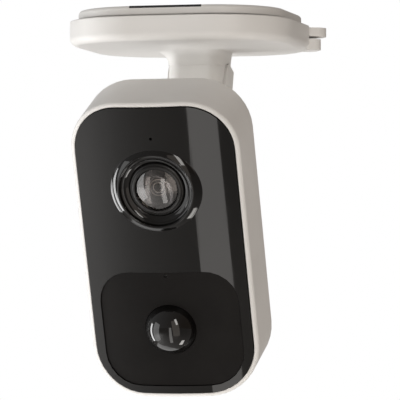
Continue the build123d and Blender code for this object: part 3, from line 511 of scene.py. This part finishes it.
# The sensor plate, with openings for the dome and the status lamp
dome_low, dome_high = head_box("pir_dome")
dome_radius = 7.75
dome_clearance = 0.03
plate_edge = 0.14
plate = crowned_slab(
    "sensor_cover", sensor_high.x, sensor_half_h, sensor_corner,
    sensor_up, sensor_low.z, panel_high.z - sensor_high.z,
)
dome_opening = cutting_tool(round_section(dome_radius + dome_clearance, sensor_up, 128), through_front)
status_hole = cutting_tool(
    round_section(small_hole, head_middle("status_lamp", UP), small_hole_sides), through_front
)
cut(plate, [dome_opening, status_hole])
soften(plate, plate_edge)
stands_for(plate, "sensor_plate")

# The dome: a flange behind the plate, and a thin cap
dome_flange = dome_high.x
flange_level = dome_low.z + 1.0
dome_foot = 2.0
dome_wall = 1.0
dome_profile = [(dome_flange, dome_low.z), (dome_flange, flange_level), (dome_radius, flange_level)]
dome_profile += cap(dome_radius, dome_foot, dome_high.z, steps=32)
dome_profile += cap(dome_radius - dome_wall, dome_foot, dome_high.z - dome_wall, steps=20)[::-1]
dome_profile += [(dome_radius - dome_wall, dome_low.z)]
dome = lathe("motion_dome", dome_profile, sensor_up)
stands_for(dome, "pir_dome")

# The trim, from the inside out: a hollow throat, a shallow step, a rolled lip, a flank and a foot
barrel_low, barrel_high = head_box("lens_barrel")
throat = barrel_high.x + 0.1
throat_edge = 9.9
step_edge = 10.6
lip_inside, lip_top_inside, lip_top_outside, lip_outside = 10.85, 11.15, 11.2, 11.65
flank_top, flank_bottom = (11.8, 3.46), (13.0, 2.56)
foot_edge = (13.08, 2.48)
trim_profile = [(throat, trim_low.z), (throat, 1.3)]
trim_profile += arc((throat + 0.25, 1.55), (throat_edge, 2.32), -0.10, 6)
trim_profile += arc((throat_edge, 2.36), (step_edge, 2.62), -0.06, 4)
trim_profile += arc((lip_inside, 3.35), (lip_top_inside, trim_high.z), 0.07, 5)
trim_profile += arc((lip_top_outside, trim_high.z), (lip_outside, 3.55), 0.05, 4)
trim_profile += arc(flank_top, flank_bottom, 0.03, 6)
trim_profile += arc(foot_edge, (trim_radius - 0.04, trim_foot + 0.1), 0.05, 6)
trim_profile += [(trim_radius, trim_foot - 0.05), (trim_radius, trim_low.z)]
trim = lathe("lens_ring", trim_profile, lens_up, sides=160)
stands_for(trim, "lens_trim")

# The barrel: a tube with a seat for the glass, whose front is a lip, one shallow groove and a slope
glass_low, glass_high = head_box("lens_front_glass")
tube = 5.6
seat = glass_low.z
lip_edge = 7.35
groove_start, groove_end, groove_level = 7.42, 7.6, 1.95
barrel_profile = [(tube, barrel_low.z), (tube, seat), (glass_high.x, seat), (glass_high.x, 2.0)]
barrel_profile += arc((glass_high.x + 0.06, 2.25), (lip_edge, 2.1), 0.06, 5)
barrel_profile += arc((groove_start, groove_level), (groove_end, groove_level), -0.05, 4)
barrel_profile += arc((groove_end + 0.05, 2.0), (barrel_high.x, 1.45), 0.12, 5)
barrel_profile += [(barrel_high.x, barrel_low.z)]
barrel = lathe("lens_tube", barrel_profile, lens_up)
stands_for(barrel, "lens_barrel")

# The front glass: a flat back with a small chamfer, and a domed front
glass_edge = 1.7
glass_chamfer = 0.1
glass_profile = [(0.0, seat), (glass_high.x - glass_chamfer, seat), (glass_high.x, seat + glass_chamfer)]
glass_profile += cap(glass_high.x, glass_edge, glass_high.z, steps=32)
glass = lathe("front_glass", glass_profile, lens_up)
stands_for(glass, "lens_front_glass")

# The iris: a disc with a small bore behind the glass, and two thin beads on its front whose pale colour paints the
# thin highlights such beads would catch
ring_low, ring_high = head_box("aperture_ring")
bore = 1.05
disc_level = -0.8
bead_half_w = 0.12
bead_level = disc_level + 0.02
disc_profile = [(bore, ring_low.z), (bore, disc_level), (ring_high.x, disc_level), (ring_high.x, ring_low.z)]
disc = lathe("iris_disc", disc_profile, lens_up, sides=96)
stands_for(disc, "aperture_ring")
for name, radius in (("inner_iris_bead", bore + 0.14), ("outer_iris_bead", 1.95)):
    bead_profile = arc((radius - bead_half_w, bead_level), (radius + bead_half_w, bead_level), 0.12, 8)
    bead = lathe(name, bead_profile, lens_up, sides=96)
    # A pale finish on the beads: painted highlight rings
    bead.data.materials.append(materials["nylon"])
    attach(bead, body_of["aperture_ring"])

# ---------------------------------------------------------------- housing

shell_low, shell_high = head_box("housing")
shell_corner = 15.5
shell_wall = 2.4
shell_edge = 0.12
back_round = 6.0
back_insets = (12.0, 9.0, 7.2)
side_levels = (-16.0, -12.0, -8.0, -4.5)
bezel_round = 1.0
bezel_drop = 0.4
mouth_chamfer = 0.12
seat_level = -3.2
throat_level = -5.5
throat_size = (22.3, 43.3, 11.3)
inner_round = back_round - shell_wall
inner_floor = shell_low.z + shell_wall


def ring_at(half_w, half_h, radius, level):
    """Points round a rectangle with round corners, at a level that may depend on the place across."""
    return [(x, y, level(x) if callable(level) else level) for x, y in outline(half_w, half_h, radius)]


def shell_ring(inset, level):
    """The housing's outline moved inwards."""
    return ring_at(shell_high.x - inset, shell_high.y - inset, shell_corner - inset, level)


def quarter(steps):
    """The turns of a quarter circle."""
    return [pi / 2 * step / steps for step in range(steps + 1)]


# From the back, round its edge, up the sides, over the bezel and down inside to the inner floor
rings = [shell_ring(inset, shell_low.z) for inset in back_insets]
for turn in quarter(12):
    rings.append(shell_ring(back_round * (1 - sin(turn)), shell_low.z + back_round * (1 - cos(turn))))
rings += [shell_ring(0.0, level) for level in side_levels]
for turn in quarter(8):
    rings.append(shell_ring(
        bezel_round * (1 - cos(turn)),
        lambda x, rise=bezel_round * (1 - sin(turn)): crown(x, bezel_drop + rise),
    ))
opening = (panel_high.x + gap, panel_high.y + gap, panel_corner + gap)
mouth = [size + mouth_chamfer for size in opening]
rings.append(ring_at(*mouth, lambda x: crown(x, bezel_drop)))
rings.append(ring_at(*opening, lambda x: crown(x, bezel_drop + mouth_chamfer)))
rings.append(ring_at(*opening, seat_level))
rings.append(ring_at(*throat_size, seat_level))
rings.append(ring_at(*throat_size, throat_level))
rings.append(shell_ring(shell_wall, throat_level))
for turn in quarter(8):
    rings.append(shell_ring(
        shell_wall + inner_round * (1 - cos(turn)), inner_floor + inner_round * (1 - sin(turn))
    ))
rings.append(shell_ring(back_insets[0], inner_floor))
shape = bmesh.new()
loops = join_rings(shape, rings)
shape.faces.new(loops[0])
shape.faces.new(loops[-1])
shell = on_head(loose_object("shell", finished_mesh("shell", shape)))

# Openings in the back: the power button and five speaker slots
button_low, button_high = head_box("power_button")
button_up = head_middle("power_button", UP)
button_radius = 3.0
speaker_up = head_middle("speaker", UP)
slot_pitch = 2.4
slot_half_w, slot_half_h = 6.0, 0.6
slot_corner = slot_half_h - 0.001
through_back = (shell_low.z - 1.0, shell_low.z + shell_wall + 1.0)
shell_cutters = [cutting_tool(round_section(button_radius + gap, button_up, 64), through_back)]
for number in range(-2, 3):
    slot_section = block_section(slot_half_w, slot_half_h, slot_corner, speaker_up + number * slot_pitch)
    shell_cutters.append(cutting_tool(slot_section, through_back))

# Openings in the bottom end: the flap's recess, the charging socket and the card socket
flap_low, flap_high = head_box("port_flap")
flap_gap = 0.3
recess_corner = 0.8
recess_half_d = (flap_high.z - flap_low.z) / 2 + flap_gap
flap_recess = (shell_low.y - 1.0, flap_high.y + 0.2)
through_end = (shell_low.y - 1.0, shell_low.y + shell_wall + 0.5)
charging_hole = (4.6, 1.7, 1.6)
card_hole = (6.0, 0.65, 0.3)
to_bottom = Matrix(((1, 0, 0, 0), (0, 0, 1, 0), (0, -1, 0, 0), (0, 0, 0, 1)))


def bottom_tool(half_w, half_d, radius, node, levels):
    """A cutting tool that enters the bottom end in line with a CAD node."""
    return cutting_tool(block_section(half_w, half_d, radius, -head_middle(node, OUT)), levels, to_bottom)


shell_cutters += [
    bottom_tool(flap_high.x + flap_gap, recess_half_d, recess_corner, "port_flap", flap_recess),
    bottom_tool(*charging_hole, "charging_socket", through_end),
    bottom_tool(*card_hole, "card_socket", through_end),
]
cut(shell, shell_cutters)
soften(shell, shell_edge, angle=50)
stands_for(shell, "housing")

# The power button: a stem, a flange inside the wall, and a rubber cap with a sunk finger mark
stem_radius = 1.2
button_flange = button_radius + 0.6
flange_inside, flange_outside = button_low.z + 3.5, button_low.z + 2.9
button_profile = [(0.0, button_high.z), (stem_radius, button_high.z), (stem_radius, flange_inside)]
button_profile += [(button_flange, flange_inside), (button_flange, flange_outside)]
button_profile += [(button_radius, flange_outside), (button_radius, button_low.z + 0.4)]
rounding_start = (button_radius - 0.02, button_low.z + 0.3)
rounding_end = (button_radius - 0.5, button_low.z)
button_profile += arc(rounding_start, rounding_end, -0.1, 5)
button_profile += arc((button_radius - 0.7, button_low.z), (0.0, button_low.z + 0.25), 0.06, 10)
button = lathe("button_cap", button_profile, button_up, sides=96)
stands_for(button, "power_button")

# ---------------------------------------------------------------- pieces with rounded edges

merge_distance = 0.002
flat_angle = 0.6


def softened(node, name, width):
    """A copy of a CAD node with clean faces and really rounded edges."""
    shape = bmesh.new()
    shape.from_mesh(nodes[node].data)
    bmesh.ops.remove_doubles(shape, verts=shape.verts, dist=merge_distance * MM)
    bmesh.ops.dissolve_limit(
        shape, angle_limit=radians(flat_angle), verts=shape.verts, edges=shape.edges,
        use_dissolve_boundaries=False,
    )
    copy = loose_object(name, finished_mesh(name, shape))
    soften(copy, width, segments=3, angle=35)
    stands_for(copy, node)


softened("wall_plate", "ceiling_plate", 0.12)
softened("rubber_pad", "pad", 0.15)
softened("base_shell", "base_and_neck", 0.25)
softened("release_lever", "release_tab", 0.55)
softened("neck_cover", "neck_back_cover", 0.22)
softened("hinge_bracket", "tilt_bracket", 0.45)
softened("hinge_caps", "tilt_caps", 0.25)
softened("port_flap", "rubber_flap", 0.25)

# ---------------------------------------------------------------- floor, light and camera

scene.view_settings.view_transform = "Standard"

floor_level = low.z - 0.60
floor_size = 6.0
floor_mesh = bpy.data.meshes.new("floor")
floor_mesh.from_pydata(
    [(x * floor_size, y * floor_size, floor_level) for x, y in ((-1, -1), (1, -1), (1, 1), (-1, 1))],
    [],
    [(0, 1, 2, 3)],
)
floor = bpy.data.objects.new("floor", floor_mesh)
scene.collection.objects.link(floor)
floor_mesh.materials.append(surface(
    "pale_floor", (0.82, 0.81, 0.80), (0.78, 0.77, 0.76), (0.6, 0.7), blotch=3, grain=40, depth=0.2
))


def studio_world(left, right):
    """A world that looks white, and whose light runs from one colour on the left to another."""
    world = bpy.data.worlds.new("studio")
    world.use_nodes = True
    tree = world.node_tree
    tree.nodes.clear()
    output = tree.nodes.new("ShaderNodeOutputWorld")
    seen = tree.nodes.new("ShaderNodeBackground")
    seen.inputs["Color"].default_value = (1, 1, 1, 1)
    lighting = tree.nodes.new("ShaderNodeBackground")
    direction = tree.nodes.new("ShaderNodeTexCoord")
    split = tree.nodes.new("ShaderNodeSeparateXYZ")
    shift = tree.nodes.new("ShaderNodeMapRange")
    shift.inputs["From Min"].default_value = -1.0
    ramp = tree.nodes.new("ShaderNodeValToRGB")
    ramp.color_ramp.elements[0].color = (*left, 1)
    ramp.color_ramp.elements[1].color = (*right, 1)
    path = tree.nodes.new("ShaderNodeLightPath")
    blend = tree.nodes.new("ShaderNodeMixShader")
    tree.links.new(direction.outputs["Generated"], split.inputs["Vector"])
    tree.links.new(split.outputs["X"], shift.inputs["Value"])
    tree.links.new(shift.outputs["Result"], ramp.inputs["Fac"])
    tree.links.new(ramp.outputs["Color"], lighting.inputs["Color"])
    tree.links.new(path.outputs["Is Camera Ray"], blend.inputs["Fac"])
    tree.links.new(lighting.outputs["Background"], blend.inputs[1])
    tree.links.new(seen.outputs["Background"], blend.inputs[2])
    tree.links.new(blend.outputs["Shader"], output.inputs["Surface"])
    return world


# The studio is dimmer and warmer to the right than to the left
scene.world = studio_world(left=(0.41, 0.41, 0.41), right=(0.165, 0.132, 0.106))


def head_direction(azimuth, elevation):
    """A direction given by its turn about the head's long axis and its rise towards that axis."""
    a, e = radians(azimuth), radians(elevation)
    return head_across * (sin(a) * cos(e)) + head_up * sin(e) + head_out * (cos(a) * cos(e))


def soft_box(name, towards, distance, width, height, radiance, colour=(1, 1, 1)):
    """A rectangular light that faces the head from a direction, standing along the head's axis.

    The distance, the width and the height are in metres.
    """
    lamp = bpy.data.lights.new(name, "AREA")
    lamp.shape = "RECTANGLE"
    lamp.size = width
    lamp.size_y = height
    lamp.energy = radiance * pi * width * height
    lamp.color = colour
    holder = bpy.data.objects.new(name, lamp)
    scene.collection.objects.link(holder)
    holder.location = head_centre + towards * distance
    back = towards.normalized()
    side = head_up.cross(back).normalized()
    holder.rotation_euler = turned_to(side, back.cross(side), back).to_euler()
    holder.visible_camera = False
    return holder


below_and_behind = Vector((-0.30, 0.45, -0.84))
left_in_front = Vector((-0.80, -0.52, -0.30))
soft_box("left_box", head_direction(-60, -8), 0.75, 0.40, 0.95, 2.0)
soft_box("left_strip", head_direction(-88, -14), 0.80, 0.14, 0.72, 10.0)
soft_box("right_box", head_direction(31, 12), 0.80, 0.44, 1.10, 0.85, (1.0, 0.90, 0.80))
soft_box("upper_window", head_direction(40, 38), 0.80, 0.12, 0.36, 8.0, (1.0, 0.98, 0.95))
soft_box("below_right", head_direction(66, -56), 0.60, 0.12, 0.20, 8.0, (1.0, 0.97, 0.93))
soft_box("below", below_and_behind, 0.62, 0.50, 0.50, 1.25)
soft_box("front_strip", head_direction(5.4, -18.4), 0.34, 0.066, 0.46, 2.3, (1.0, 0.97, 0.94))

# This one is turned to shine straight down, and lights a patch of the floor
glow = soft_box("floor_glow", left_in_front, 1.0, 0.5, 0.5, 5.0)
glow.rotation_euler = (0, 0, 0)

# The camera stands a little below the object's middle and to its right, and aims just beside it
view_azimuth = 13.85
view_elevation = -2.54
view_distance = 1.240
view_roll = -0.07
focal_length = 371.6
aim_right, aim_up = 3.0, 0.9
view_right = Vector((cos(radians(view_azimuth)), sin(radians(view_azimuth)), 0))
view_back = Vector((
    sin(radians(view_azimuth)) * cos(radians(view_elevation)),
    -cos(radians(view_azimuth)) * cos(radians(view_elevation)),
    sin(radians(view_elevation)),
))
view_up = view_back.cross(view_right)
aim = centre + view_right * aim_right * MM + view_up * aim_up * MM
camera_data = bpy.data.cameras.new("camera")
camera_data.sensor_width = 36.0
camera_data.lens = focal_length
camera_data.clip_start = 0.01
camera = bpy.data.objects.new("camera", camera_data)
scene.collection.objects.link(camera)
camera.matrix_world = (
    Matrix.Translation(aim + view_back * view_distance)
    @ turned_to(view_right, view_up, view_back).to_4x4()
    @ Matrix.Rotation(radians(view_roll), 4, "Z")
)
scene.camera = camera
